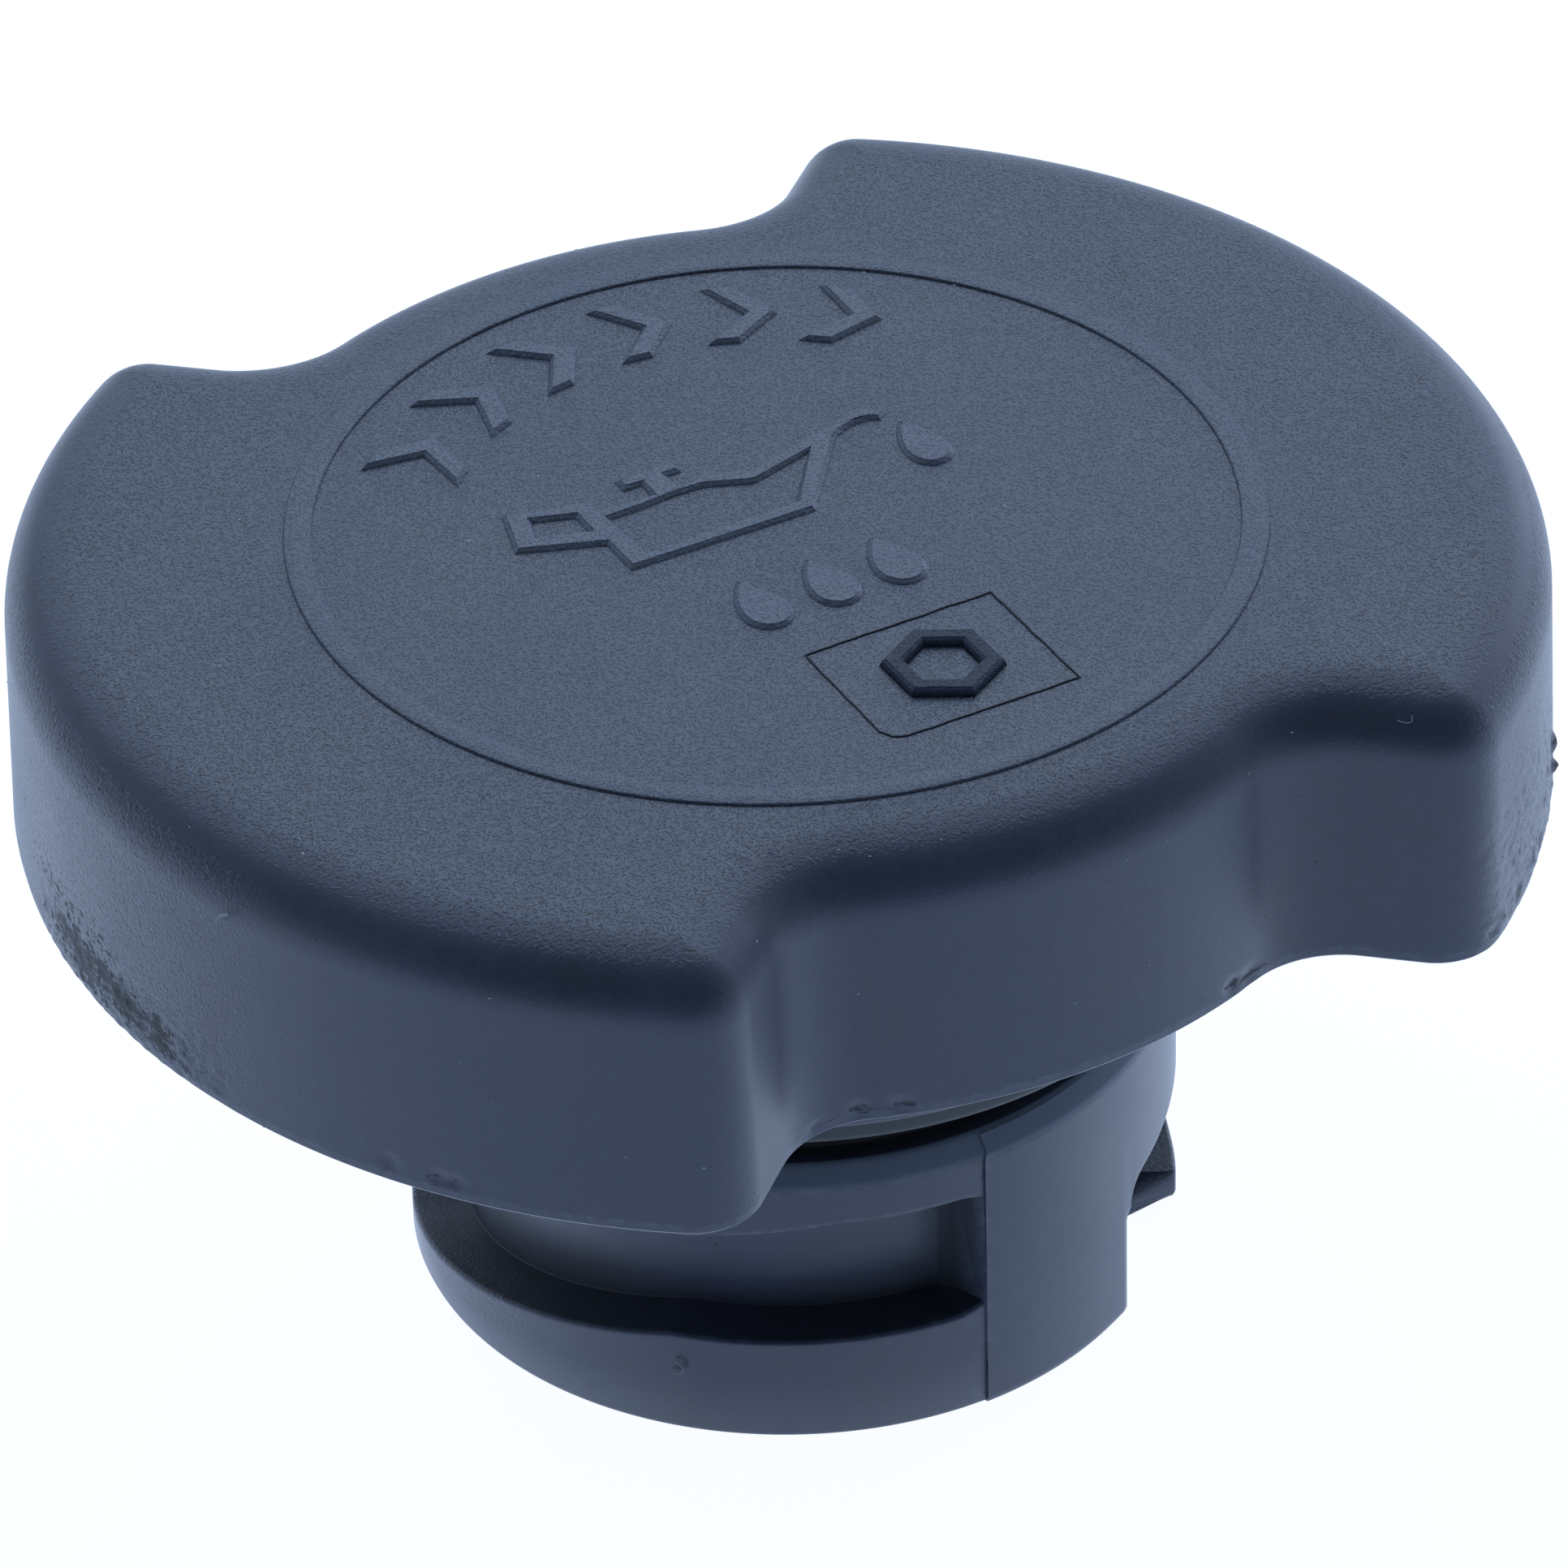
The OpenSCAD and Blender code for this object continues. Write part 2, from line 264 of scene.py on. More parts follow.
def mouldedNylon(name, s):
    # Glass-filled nylon 66, injection moulded against a spark-eroded tool: a blue-black plastic whose satin
    # grain breaks the light into light and dark specks; smoother on the drawn sides, torn where knocked
    material, add, out, coords = startMaterial(name)
    onPiece = {"Vector": (coords, "Object")}
    cloud, cluster, grain, flow, broken = [
        add(noiseKind, {"Scale": 1 / (s[size] * mm), "Detail": detail}, onPiece)
        for size, detail in (("cloudSize", 3.0), ("clusterSize", 2.0), ("grainSize", 1.0), ("flowSize", 1.0),
                             ("fleckSize", 1.0))]
    # the mesh carries grit, scuffs, a painted edge highlight, a broad painted highlight and painted shade
    grit, scuff, rub, handled, grime = [
        add("ShaderNodeAttribute", {"attribute_name": label})
        for label in ("grit", "scuff", "rub", "handled", "grime")]
    # the grain fades on the rounded edge and the drawn sides, apart from the gritty places
    place = add("ShaderNodeSeparateXYZ", links={0: (coords, "Object")})
    fade = {**smooth, 1: s["grainFrom"] * mm, 2: s["grainTo"] * mm, 3: s["sideGrain"], 4: 1.0}
    onTop = add(rangeKind, fade, {0: (place, "Z")})
    amount = add(mathKind, maximum, {0: onTop, 1: (grit, "Fac")})
    pale, deep = [add(rangeKind, {**smooth, 1: s[specks][0], 2: s[specks][1]}, {0: grain})
            for specks in ("paleSpecks", "deepSpecks")]
    crest = add(mathKind, {**addScaled, 1: s["deepShare"]}, {0: deep, 2: pale})
    crest = add(mathKind, multiply, {0: crest, 1: amount})
    shade = add(mathKind, {**addScaled, 1: s["cloudShade"], 2: s["baseShade"]}, {0: cloud})
    for source, share in ((cluster, s["clusterShade"]), (crest, s["crestShade"])):
        shade = add(mathKind, {**addScaled, 1: share}, {0: source, 2: shade})
    # faint flow lines in the melt: thin contours of a slow pattern, broken up by the clouds
    contour = add(mathKind, {"operation": "SUBTRACT", 1: 0.5}, {0: flow})
    contour = add(mathKind, {"operation": "ABSOLUTE"}, {0: contour})
    line = add(rangeKind, {1: 0.012, 2: 0.002, 3: 0.0, 4: s["flowStrength"]}, {0: contour})
    here = add(rangeKind, {**smooth, 1: 0.5, 2: 0.6}, {0: cloud})
    line = add(mathKind, multiply, {0: line, 1: here})
    # knocked places, where the mesh carries them: dark torn streaks
    flatter = add("ShaderNodeVectorMath", {**multiply, 1: (1, 1, 1.8)}, {0: (coords, "Object")})
    torn = add(noiseKind, {"Scale": 1 / (s["tornSize"] * mm), "Detail": 3.0, "Roughness": 0.65},
            {"Vector": flatter})
    limit = add(mathKind, {**addScaled, 1: s["scuffShare"]}, {0: (scuff, "Fac"), 2: torn})
    tear = add(rangeKind, {**smooth, 1: 0.7, 2: 0.84, 4: s["tornStrength"]}, {0: limit})
    # painted highlights along edges, and a few real chips in the scuffs, broken into flecks
    flecks = add(rangeKind, {**smooth, 1: 0.4, 2: 0.65, 4: s["fleckStrength"]}, {0: broken})
    chipsAndHighlights = add(mathKind, {**addScaled, 1: s["chipShare"]}, {0: (scuff, "Fac"), 2: (rub, "Fac")})
    fleckedChipsAndHighlights = add(mathKind, multiply, {0: chipsAndHighlights, 1: flecks})
    # the colours lie over each other; a broad painted highlight makes places evenly paler, and painted shade
    # darkens deep corners
    colour = add(mixKind, {**colours, 6: linearColour(s["dark"]), 7: linearColour(s["light"])}, {0: shade})
    for over, source, output in (("dark", line, 0), ("scuffColour", tear, 0), ("chipAndHighlightColour", fleckedChipsAndHighlights, 0),
            ("chipAndHighlightColour", handled, "Fac"), ("paintedShadeColour", grime, "Fac")):
        colour = add(mixKind, {**colours, 7: linearColour(s[over])}, {0: (source, output), 6: (colour, 2)})
    rough = add(mathKind, {**addScaled, 1: s["cloudRough"], 2: s["roughness"] - s["cloudRough"] / 2},
            {0: cloud})
    # painted shade also dulls the gloss
    for source, output, share in ((tear, 0, s["tornRough"]), (grime, "Fac", s["paintedShadeRough"])):
        rough = add(mathKind, {**addScaled, 1: share}, {0: (source, output), 2: rough})
    height = add(mathKind, {**addScaled, 1: -s["tornDepth"]}, {0: tear, 2: crest})
    bump = add("ShaderNodeBump", {"Strength": s["bump"], "Distance": s["grainDepth"] * mm},
            {"Height": height})
    shader = add(shaderKind, {"IOR": 1.53, "Specular IOR Level": s["specular"]},
            {"Base Color": (colour, 2), "Roughness": rough, "Normal": bump})
    material.node_tree.links.new(shader.outputs[0], out.inputs["Surface"])
    return material


def mouldedRubber(name, s):
    # Nitrile rubber, compression moulded: neutral dark grey, matt, with a faint powdery bloom
    material, add, out, coords = startMaterial(name)
    bloom, fine = [
        add(noiseKind, {"Scale": 1 / (s[size] * mm), "Detail": detail}, {"Vector": (coords, "Object")})
        for size, detail in (("bloomSize", 3.0), ("grainSize", 2.0))]
    base = add(mixKind, {**colours, 6: linearColour(s["dark"]), 7: linearColour(s["light"])}, {0: bloom})
    bump = add("ShaderNodeBump", {"Strength": 0.3, "Distance": s["grainDepth"] * mm}, {"Height": fine})
    shader = add(shaderKind, {"IOR": 1.52, "Roughness": s["roughness"], "Specular IOR Level": 0.4},
            {"Base Color": (base, 2), "Normal": bump})
    material.node_tree.links.new(shader.outputs[0], out.inputs["Surface"])
    return material


def looseDust(name, s):
    # Settled dust and lint of paper and cotton: dull, pale and fibrous, each speck a little different
    material, add, out, coords = startMaterial(name)
    patch = add(noiseKind, {"Scale": 1 / (s["patchSize"] * mm), "Detail": 1.0},
            {"Vector": (coords, "Object")})
    tone = add(rangeKind, {1: 0.35, 2: 0.7}, {0: patch})
    base = add(mixKind, {**colours, 6: linearColour(s["dark"]), 7: linearColour(s["light"])}, {0: tone})
    shader = add(shaderKind, {"Roughness": 0.9, "Specular IOR Level": 0.2}, {"Base Color": (base, 2)})
    material.node_tree.links.new(shader.outputs[0], out.inputs["Surface"])
    return material


nylonSettings = {
    "dark": "#1e2432", "light": "#444e69", "scuffColour": "#141318", "chipAndHighlightColour": "#8591a6",
    "paintedShadeColour": "#0b0c0f", "specular": 0.5, "roughness": 0.45,
    # what the clouds, the clusters and the grain's crests add to the shade between dark and light
    "baseShade": 0.02, "cloudShade": 0.6, "clusterShade": 0.35, "crestShade": 1.0,
    "cloudSize": 7.0,      # slow flow marks of the glass-filled melt
    "flowSize": 14.0, "flowStrength": 0.3,
    "clusterSize": 0.8,    # the grain lies in loose clusters
    "grainSize": 0.17,     # spark-eroded grain, drawn a little coarser than the real 0.1 mm so that it shows
    "paleSpecks": (0.57, 0.68), "deepSpecks": (0.43, 0.32), "deepShare": -0.7,
    "grainDepth": 0.05, "bump": 0.65, "grainFrom": 35.75, "grainTo": 36.28, "sideGrain": 0.1,
    "tornSize": 0.5, "tornStrength": 0.92, "tornDepth": 1.2, "scuffShare": 0.4, "chipShare": 0.2,
    "fleckSize": 0.6, "fleckStrength": 0.8, "cloudRough": 0.12, "tornRough": 0.25, "paintedShadeRough": 0.4,
}
neckNylonSettings = dict(nylonSettings, grainFrom=40.0, grainTo=41.0, sideGrain=0.03, roughness=0.42,
        bump=0.5, flowStrength=0.0)
# the bead's paler copy of the nylon is painted sheen on its ridge
beadNylonSettings = dict(nylonSettings, dark="#272e3d", light="#4d5973", crestShade=0.3, flowStrength=0.0)
markNylonSettings = dict(nylonSettings, dark="#0b0f1a", light="#1c2434", chipAndHighlightColour="#6d7b94", specular=0.15,
        crestShade=0.3, flowStrength=0.0)
rubberSettings = {"dark": "#2b3139", "light": "#394049", "roughness": 0.55, "bloomSize": 1.6,
        "grainSize": 0.2, "grainDepth": 0.02}
dustMaterialSettings = {"dark": "#8492a8", "light": "#e2e7ee", "patchSize": 2.0}
lintMaterialSettings = {"dark": "#5f6b80", "light": "#a4b0c2", "patchSize": 2.0}

nylon = mouldedNylon("nylonMouldedSatin", nylonSettings)
nylonSmooth = mouldedNylon("nylonMouldedSmooth", neckNylonSettings)
nylonPaintedSheen = mouldedNylon("nylonMouldedPaintedSheen", beadNylonSettings)
nylonDark = mouldedNylon("nylonMouldedInsert", markNylonSettings)
rubber = mouldedRubber("nitrileRubberMatt", rubberSettings)
dust = looseDust("dustPaleFibrous", dustMaterialSettings)
lintGrey = looseDust("lintGreyFibre", lintMaterialSettings)
print("materials made")


# knob: one closed shell, lofted through insets of the same outline

knobSettings = {
    "wingRadius": 33.2, "valleyRadius": 25.8, "valleyAngle": 59.0, "flankRadius": 29.0, "flankLean": 19.0,
    "cornerRadius": 3.0, "rootRadius": 4.5, "draft": 0.25, "edgeRadius": 2.7, "hem": 0.25,
    "skirtLevel": 23.6, "height": 36.4, "crown": 0.05, "discRadius": 21.3, "plateLevel": 33.8, "wall": 2.4,
    "partingLevel": 24.15, "step": 0.05, "marginWidth": 2.0, "marginTilt": 18.0, "plateFillet": 0.4,
}


def knobOutline(inset, s=knobSettings):
    flankDirection = math.radians(s["valleyAngle"] / 2 + s["flankLean"])
    flankDistance = s["flankRadius"] * math.sin(math.radians(s["flankLean"]))
    along = np.array([math.cos(flankDirection), math.sin(flankDirection)])
    across = np.array([math.sin(flankDirection), -math.cos(flankDirection)])

    def pointBy(r, d):
        return math.sqrt(r * r - d * d) * along + d * across

    # an inset beyond the corner's radius keeps a tight corner at its own place
    bend = max(s["cornerRadius"], inset + 0.05)
    root = pointBy(s["valleyRadius"] + s["rootRadius"], flankDistance + s["rootRadius"])
    corner = pointBy(s["wingRadius"] - bend, flankDistance - bend)
    rootAngle, cornerAngle = math.atan2(root[1], root[0]), math.atan2(corner[1], corner[0])
    flip = np.array([-1, 1])

    def arc(centre, r, first, last, n):
        a = np.linspace(first, last, n, endpoint=False)
        return np.asarray(centre) + r * np.stack([np.cos(a), np.sin(a)], 1)

    half = np.concatenate([
        arc((0, 0), s["valleyRadius"] - inset, -rootAngle, rootAngle, 64),
        arc(root, s["rootRadius"] + inset, rootAngle + math.pi, flankDirection + math.pi / 2, 16),
        arc(corner, bend - inset, flankDirection - math.pi / 2, cornerAngle, 16),
        arc((0, 0), s["wingRadius"] - inset, cornerAngle, math.pi - cornerAngle, 250),
        arc(corner * flip, bend - inset, math.pi - cornerAngle, 1.5 * math.pi - flankDirection, 16),
        arc(root * flip, s["rootRadius"] + inset, math.pi / 2 - flankDirection, -rootAngle, 16)])
    # the valleys lie along Y
    return np.concatenate([np.stack([t * half[:, 1], -t * half[:, 0]], 1) for t in (1, -1)])


def atLevel(flat, z):
    return np.column_stack([flat, np.full(len(flat), z)])


def knobRings(s=knobSettings):
    # the outer rings from the middle of the top down to the hem, then the inner ones up to the plate
    tilt = math.radians(s["marginTilt"])
    marginDrop = s["marginWidth"] * math.tan(tilt) / 2
    marginInset = s["draft"] + s["edgeRadius"] * (1 - math.sin(tilt)) + s["marginWidth"]
    edgeTop = s["height"] - s["crown"] - marginDrop + s["edgeRadius"] * (1 - math.cos(tilt))
    plateau = knobOutline(marginInset)
    reach = np.linalg.norm(plateau, axis=1)[:, None]
    direction = plateau / reach
    outer = [atLevel(direction * r, s["height"]) for r in (0.5, 5, 10, 15, 19, s["discRadius"])]
    for t in (0.12, 0.35, 0.65, 0.9):
        flat = direction * (s["discRadius"] * (1 - t) + reach * t)
        outer.append(atLevel(flat, s["height"] - s["crown"] * t))
    for t in (0.25, 0.5, 0.75):
        flat = knobOutline(marginInset - s["marginWidth"] * t)
        outer.append(atLevel(flat, s["height"] - s["crown"] - marginDrop * t * t))
    for a in np.radians(np.linspace(90 - s["marginTilt"], 0, 14)):
        flat = knobOutline(s["draft"] + s["edgeRadius"] * (1 - math.cos(a)))
        outer.append(atLevel(flat, edgeTop - s["edgeRadius"] * (1 - math.sin(a))))
    low = s["skirtLevel"] + s["hem"]
    high = edgeTop - s["edgeRadius"]
    parting = s["partingLevel"]
    for t in np.linspace(1, 0, 56)[1:] ** 1.2:
        outer.append(atLevel(knobOutline(s["draft"] * t), parting + (high - parting) * t))
    for a in np.radians((0, 25, 50, 72, 90)):
        flat = knobOutline(s["step"] + s["hem"] * (1 - math.cos(a)))
        outer.append(atLevel(flat, (low if a else parting - s["step"]) - s["hem"] * math.sin(a)))
    wall, fillet = s["wall"] + s["draft"], s["plateFillet"]
    inner = [atLevel(knobOutline(wall - 0.2), s["skirtLevel"]),
            atLevel(knobOutline(wall), s["skirtLevel"] + 0.2)]
    for a in np.radians((0, 30, 60, 90)):
        flat = knobOutline(wall + fillet * (1 - math.cos(a)))
        inner.append(atLevel(flat, s["plateLevel"] - fillet * (1 - math.sin(a))))
    inner += [atLevel(direction * r, s["plateLevel"]) for r in (18, 9, 0.5)]
    return outer, inner


# knocks and burrs on the skirt: angle in degrees, then height, size and depth in mm (minus stands out)
skirtMarks = [
    (-148.3, 24.7, 0.6, 0.1), (-144.4, 24.6, 0.6, 0.14), (-143.1, 24.6, 0.5, 0.14),
    (-116.5, 24.2, 0.5, 0.14), (-112.3, 24.3, 0.7, 0.16), (-108.5, 24.3, 0.7, 0.16),
    (-72.5, 24.4, 0.7, 0.16), (-70.0, 24.3, 0.8, 0.16), (-36.0, 26.95, 0.5, -0.2),
    (-36.1, 26.55, 0.5, -0.18), (-36.3, 25.65, 0.5, -0.3), (-36.8, 24.85, 0.4, -0.1),
    (-39.5, 26.6, 0.45, -0.1), (-41.5, 25.9, 0.4, -0.12), (-43.4, 24.6, 0.45, 0.12),
    (-46.0, 24.7, 0.45, -0.13), (-50.0, 24.6, 0.5, 0.14), (-53.4, 24.6, 0.5, -0.1),
    (-55.0, 24.4, 0.5, 0.12), (171.0, 25.2, 0.4, -0.12),
]
# rough stretches: from and to in degrees, middle height, half height and roughness in mm
skirtRough = [(168, 199, 25.2, 1.9, 0.07), (-58, -34, 27.0, 4.0, 0.07)]
# the scuff on one wing in degrees and mm, the pits above it, and the gritty ends as angle and half width
scuffSettings = {"middle": 183.0, "half": 12.5, "level": 25.2, "fall": 0.4, "reach": 1.5, "pitLevel": 27.3,
        "gritty": [(172.0, 30.0), (-18.0, 40.0)]}


def markSkirt(points):
    points = points.copy()
    radius, angle = polar(points)
    outside = (radius > 25) & (points[:, 2] < 31)
    for degrees, level, size, depth in skirtMarks:
        away = np.hypot(np.radians(turnFrom(angle, degrees)) * radius, points[:, 2] - level) / size
        hit = outside & (away < 1)
        points[hit, :2] *= (1 - depth * (1 - away[hit] ** 2) ** 2 / radius[hit])[:, None]
    for first, last, level, half, depth in skirtRough:
        turn = np.abs(turnFrom(angle, (first + last) / 2)) / ((last - first) / 2)
        fade = np.clip(1 - turn ** 4, 0, 1) * np.clip(1 - ((points[:, 2] - level) / half) ** 4, 0, 1)
        for i in np.where(outside & (fade > 0))[0]:
            pit = noise.noise(Vector(points[i]) / 0.38)
            points[i, :2] *= 1 - depth * fade[i] * (pit + 0.15) / radius[i]
    return points


def wearOf(points, s=knobSettings, w=scuffSettings):
    # how much painted highlight each point carries on the parting line and painted reflection on the hem,
    # and how far it is scuffed and gritty, from 0 up
    radius, angle = polar(points)
    height = points[:, 2]
    outside = (radius > 23) & (height < s["height"] - 1)
    # painted highlight along the skirt's parting line
    parting = np.clip(1 - np.abs(height - s["partingLevel"]) / 0.12, 0, 1) * (radius > 24)
    # painted reflection of the floor along the hem
    hemmed = np.clip(1 - np.abs(height - s["skirtLevel"] - 0.03) / 0.13, 0, 1) * (radius > 24)
    patchy = np.array([0.75 + 0.6 * noise.noise(Vector(p) / 2.5) for p in points])
    swing = (angle % 360 - w["middle"]) / w["half"]
    level = w["level"] - w["fall"] * swing
    reach = w["reach"] * (1 - 0.35 * swing)
    band = np.clip(1.3 - np.abs(height - level) / np.maximum(reach, 0.2), 0, 1)
    scuff = np.clip(1.2 * (1 - np.abs(swing) ** 2.5), 0, 1) * band * np.clip(1.5 * patchy - 0.25, 0.4, 1.1)
    # small pits above the scuff, and dark hollows where the skirt was knocked
    above = np.clip(1 - np.abs(height - w["pitLevel"]) / 1.8, 0, 1)
    above *= np.clip(1 - ((swing + 0.5) / 0.8) ** 4, 0, 1)
    scuff = np.maximum(scuff, 0.6 * above)
    for degrees, mid, size, depth in skirtMarks:
        along = np.radians(turnFrom(angle, degrees)) * radius / 1.8
        away = np.hypot(along, (height - mid) / (0.4 if depth > 0 else 1)) / size
        scuff = np.maximum(scuff, np.clip(1.1 - away, 0, 1) * min(0.9, abs(depth) * 5))
    grit = np.zeros(len(points))
    for middle, half in w["gritty"]:
        grit = np.maximum(grit, np.clip((half - np.abs(turnFrom(angle, middle))) / 14, 0, 1))
    # the grain is coarser outside the bead
    margin = 1.5 * (radius > 22) * np.clip((height - s["height"] + 0.3) / 0.15, 0, 1)
    return {"rub": parting * 0.5 * np.clip(patchy, 0, 1), "handled": 0.8 * hemmed, "scuff": scuff * outside,
            "grit": np.maximum(1.5 * grit * outside, margin)}


outerRings, innerRings = knobRings()
outerRings = [markSkirt(r) for r in outerRings]
knobPoints, knobFaces = ringStack(outerRings + innerRings)
knob = dressed("knobShell", markedMesh("knobShell", knobPoints, knobFaces, wearOf(knobPoints)), nylon, 24)
print("knob made", len(knob.data.polygons))


# neck: one profile turned round the axis, whose groove heights follow the angle from the stop face

neckSettings = {
    "radius": 17.0, "coreRadius": 14.4, "boreRadius": 12.0, "ringLevel": 13.4, "ringChamfer": 0.8,
    "leadHeight": 1.45, "lockHeight": 5.2, "ceiling": 11.5, "ceilingSlope": 0.0376, "lugAngle": 121.5,
    "slotEnd": 149.0, "leadAngle": 10.0, "lockAngle": 47.0, "ceilingAngle": 22.5, "stopSlant": 3.4,
    "journalRadius": 15.0, "seatLevel": 19.8, "lipLevel": 18.7, "seatRadius": 18.85, "collarRadius": 19.7,
    "plateLevel": 33.8, "proud": 0.14, "archRadius": 1.3, "stopRise": 0.35, "foot": 0.08, "lugSoft": 0.22,
    "stopFillet": 0.9, "filletFrom": 2.2, "filletTo": 5.8, "jog": 0.6, "edgeRound": 0.5, "endTurn": 8.0,
    "slotRise": 1.9, "nose": 0.25,
}


def grooveHeights(a, s):
    # heights of the lug's top and of the ceiling, by the angle back from the stop face
    ramp = s["lugAngle"] - s["leadAngle"] - s["lockAngle"]
    low = s["lockHeight"] - (s["lockHeight"] - s["leadHeight"]) * min(max((a - s["lockAngle"]) / ramp, 0), 1)
    low += s["stopRise"] * max(0, 1 - a / 5) ** 2
    high = s["ceiling"] - s["ceilingSlope"] * max(a - s["ceilingAngle"], 0)
    high -= 0.25 * max(0, 1 - a / 2.5) ** 2
    left = math.radians(s["slotEnd"] - a) * s["radius"]
    if left < s["archRadius"]:
        high -= s["archRadius"] - math.sqrt(max(s["archRadius"] ** 2 - (s["archRadius"] - left) ** 2, 0))
    return low, high


def roundCorner(x, y, r, first, last, rub=0.0, n=5):
    return [(x + r * math.cos(t), y + r * math.sin(t), rub) for t in np.radians(np.linspace(first, last, n))]


def outerProfile(kind, a, s):
    # points (radius, height, painted edge highlight) from the lower end to the ring's chamfer, the same
    # count for every kind
    R, nose, foot = s["radius"], s["nose"], s["foot"]
    # the groove's floor runs into the stop face in a hollow fillet
    u = min(max((a - s["filletFrom"]) / (s["filletTo"] - s["filletFrom"]), 0), 1)
    core = s["coreRadius"] + s["stopFillet"] * (1 - math.sqrt(1 - (1 - u) ** 2)) * (kind == "lug")
    low, high = grooveHeights(min(a, s["slotEnd"]), s)
    soft = s["lugSoft"]
    # the third value of each point paints a highlight along the edges of the lug, the ceiling and the ring
    lugFoot = [(R - nose, 0, 0), (R - nose * 0.3, nose * 0.3, 0.2), (R, nose, 0), (R, low * 0.55, 0),
            (R, low - soft - 0.15, 0)]
    lugTop = roundCorner(R - soft, low - soft, soft, 0, 90, 0.2)
    lugTop += [(R - soft - 0.2, low, 0), (0.5 * (R + core), low, 0)]
    floorLow = roundCorner(core + foot, low + foot, foot, 270, 180)
    middle = [(core, low + (high - low) * t, 0) for t in (0.2, 0.5, 0.8)]
    floorHigh = roundCorner(core + foot, high - foot, foot, 180, 90)
    ceiling = [(0.5 * (R + core), high, 0)] + roundCorner(R - 0.1, high + 0.1, 0.1, 270, 360, 0.6, 4)
    ringTop, cut = s["ringLevel"], s["ringChamfer"]
    ring = [(R, high + 0.3, 0), (R, high + (ringTop - high) * 0.6, 0), (R, ringTop - 0.25, 0),
            (R, ringTop - 0.1, 0.6), (R - 0.06, ringTop + 0.1, 0.6), (R - 0.14, ringTop + 0.2, 0),
            (R - cut + 0.16, ringTop + cut - 0.12, 0), (R - cut + 0.08, ringTop + cut - 0.04, 0.4),
            (R - cut - 0.1, ringTop + cut, 0.4), (R - cut - 0.25, ringTop + cut, 0)]
    groove = lugFoot + lugTop + floorLow + middle + floorHigh + ceiling
    if kind == "lug":
        return groove + ring
    if kind == "slot":
        count, top = len(lugFoot + lugTop + floorLow) - 2, s["slotRise"]
        rise = [(core - 0.15, 0, 0), (core, 0.15, 0)]
        rise += [(core, 0.15 + (top - 0.15) * (i + 1) / count, 0) for i in range(count)]
        openMiddle = [(core, top + (high - foot - top) * t, 0) for t in (0.2, 0.5, 0.8)]
        return rise + openMiddle + floorHigh + ceiling + ring
    # stop block: straight up, its points spread as in the groove
    count = len(groove) - 3
    rise = [(R, nose + (high + 0.1 - nose) * (i + 1) / count, 0) for i in range(count)]
    return lugFoot[:3] + rise + ring


def neckStation(kind, a, turn, s, side=None):
    # one closed section of the tube at an angle, as points and how strongly each carries a painted edge
    # highlight; side: "stop" slants the stop face, "seam" is the edge of the block over it, and a number of
    # mm rounds a free edge
    R = s["radius"]
    lift = s["proud"] * max(0, 1 - (180 - a) / 26) if kind == "block" else 0.0
    section = []
    for r, z, rub in outerProfile(kind, a, s):
        shift = 0.0
        if side == "stop" and 1 < z < 12:
            shift = s["stopSlant"] * max(0, R - r) / (R - s["coreRadius"])
        if side in ("stop", "seam"):
            # the tool's parting line steps aside where the ring's chamfer begins
            shift -= s["jog"] * min(max((z - s["ringLevel"]) / 0.2, 0), 1)
            # painted highlight along the seam's outer edge
            rub = max(rub, 0.4 * (r > R - 0.2))
        if kind == "slot" and z < s["leadHeight"]:
            # the foot of the lug's end face runs on along the core
            shift = max(0, s["endTurn"] * (1 - z / s["leadHeight"]) - (a - s["lugAngle"]))
        grown = r + (lift if r > R - 0.8 else 0)
        if side not in (None, "stop", "seam") and r > s["coreRadius"] + 0.5:
            edgeTop = grooveHeights(min(a, s["slotEnd"]), s)[kind == "block"]
            grown -= side * min(max((edgeTop - z) / 0.5, kind == "lug"), 1) * (z < edgeTop + 0.01)
            if kind == "block":
                z = max(z, 1.4 * side)
        section.append((grown, z, shift, rub))
    ringTop, journal, seat = s["ringLevel"] + s["ringChamfer"], s["journalRadius"], s["seatRadius"]
    lip, collar, plate, bore = s["lipLevel"], s["collarRadius"], s["plateLevel"], s["boreRadius"]
    inside = [(journal + 0.35, ringTop), (journal + 0.1, ringTop + 0.1), (journal, ringTop + 0.35),
            (journal, 17.0), (journal, s["seatLevel"]), (seat, s["seatLevel"]), (seat, lip + 0.1),
            (seat + 0.1, lip), (collar - 0.2, lip), (collar - 0.06, lip + 0.06), (collar, lip + 0.2),
            (collar, 26.0), (collar, plate - 0.5), (collar + 0.15, plate - 0.15),
            (collar + 0.5, plate + 0.02), (collar + 0.5, plate + 0.5), (bore - 0.5, plate + 0.5),
            (bore - 0.5, plate + 0.02), (bore - 0.15, plate - 0.15), (bore, plate - 0.5), (bore, 24.0),
            (bore, 12.0), (bore, 0.3), (bore + 0.3, 0)]
    section += [(r, z, 0, 0) for r, z in inside]
    radius, level, shift, rub = np.array(section, float).T
    angle = np.radians(-90 - a - shift + turn)
    return np.stack([radius * np.cos(angle), radius * np.sin(angle), level], 1), rub


